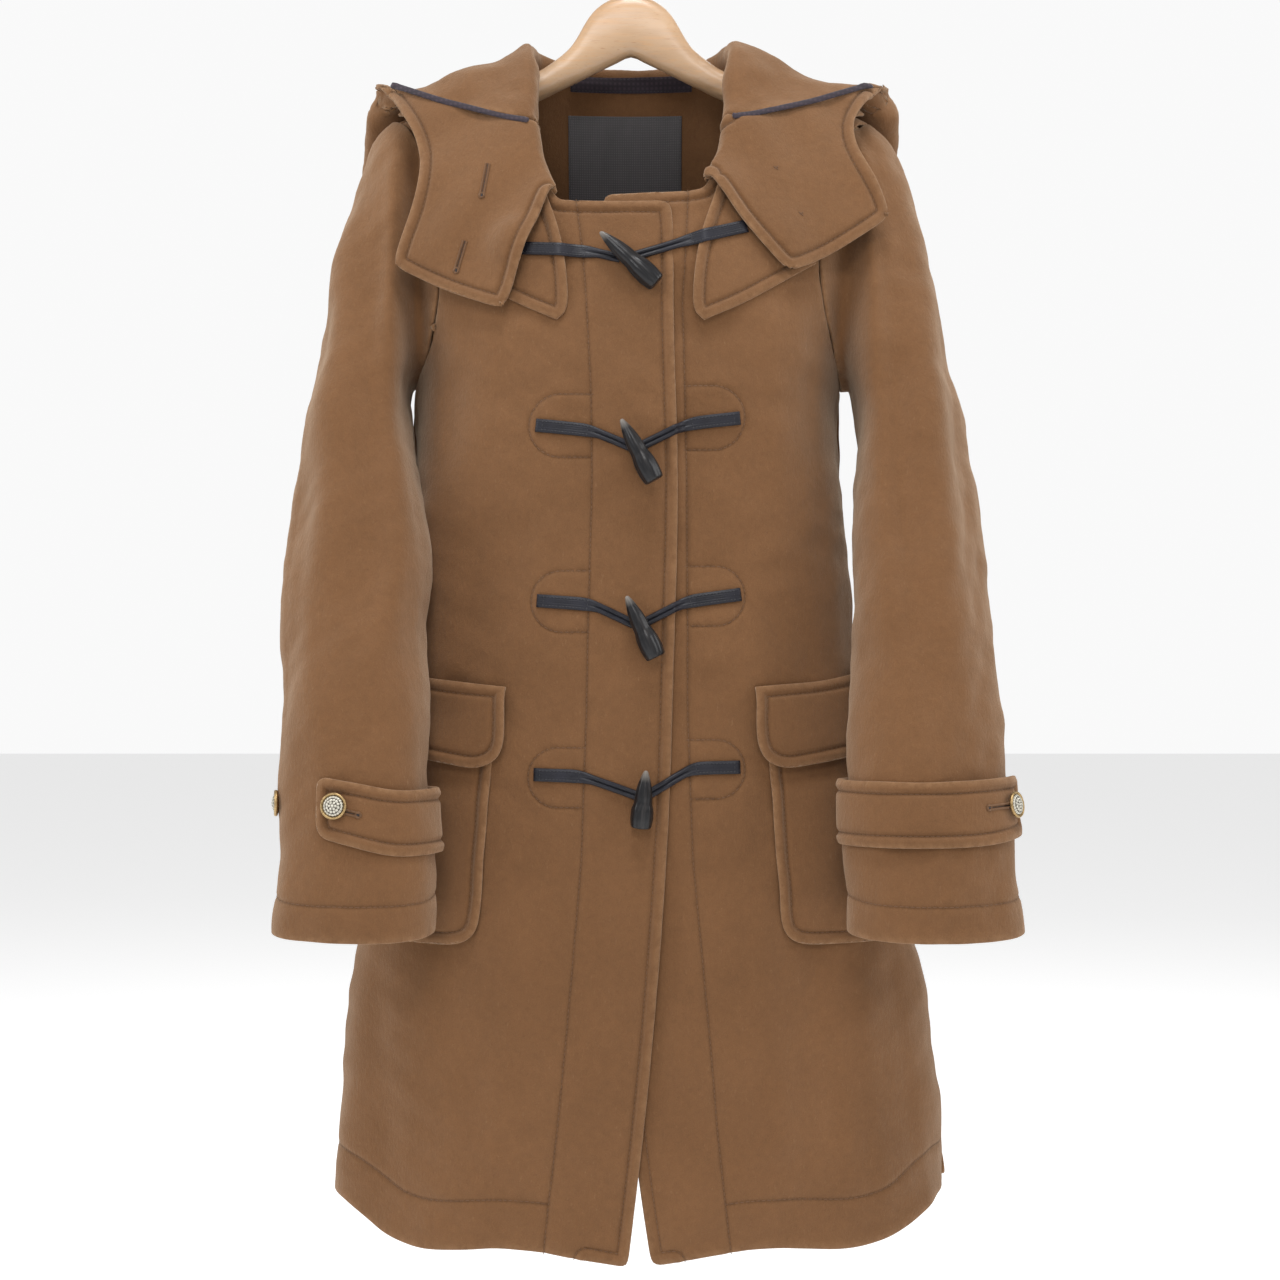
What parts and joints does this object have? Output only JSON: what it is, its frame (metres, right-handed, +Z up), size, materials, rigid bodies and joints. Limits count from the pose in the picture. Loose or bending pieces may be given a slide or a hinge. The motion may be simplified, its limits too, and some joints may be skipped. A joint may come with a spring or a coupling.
{
  "type": "duffle coat on a hanger",
  "caption": "Knee-length hooded wool duffle coat with horn toggles, patch pockets and cuff straps, hanging open-necked on a wooden coat hanger",
  "frame": {"origin": "the inner top of the hanger's hook, where a rail carries it", "axes": "+Z up along the coat's length, +X towards the wearer's left, -Y out of the coat's front"},
  "size_m": [0.5207, 0.2878, 0.9882],
  "materials": {
    "wool": "thick brushed wool melton, matt",
    "tape": "dark binding tape",
    "woven_label": "woven tape, bare",
    "horn": "polished dark horn",
    "leather": "smooth dark leather",
    "gilt": "gilt metal",
    "beech": "clear-lacquered beech",
    "steel": "plated steel wire"
  },
  "bodies": {
    "root": {"back": "wool", "front_right": "wool", "front_left": "wool", "yoke_right": "wool", "yoke_left": "wool", "sleeve_right": "wool", "sleeve_left": "wool", "cuff_strap_right": "wool", "cuff_strap_left": "wool", "pocket_right": "wool", "pocket_left": "wool", "pocket_flap_right": "wool", "pocket_flap_left": "wool", "hood": "wool", "hood_flap_right": "wool", "hood_flap_left": "wool", "hood_binding_right": "tape", "hood_binding_left": "tape", "neck_tape": "tape", "label": "woven_label", "cuff_button_right_1": "gilt", "cuff_button_right_2": "gilt", "cuff_button_left_1": "gilt", "cuff_button_left_2": "gilt", "toggle_1": "horn", "toggle_2": "horn", "toggle_3": "horn", "toggle_4": "horn", "toggle_loop_1": "leather", "toggle_loop_2": "leather", "toggle_loop_3": "leather", "toggle_loop_4": "leather", "toggle_strap_1": "leather", "toggle_strap_2": "leather", "toggle_strap_3": "leather", "toggle_strap_4": "leather", "hanger": "beech", "hanger_hook": "steel"}
  },
  "joints": []
}
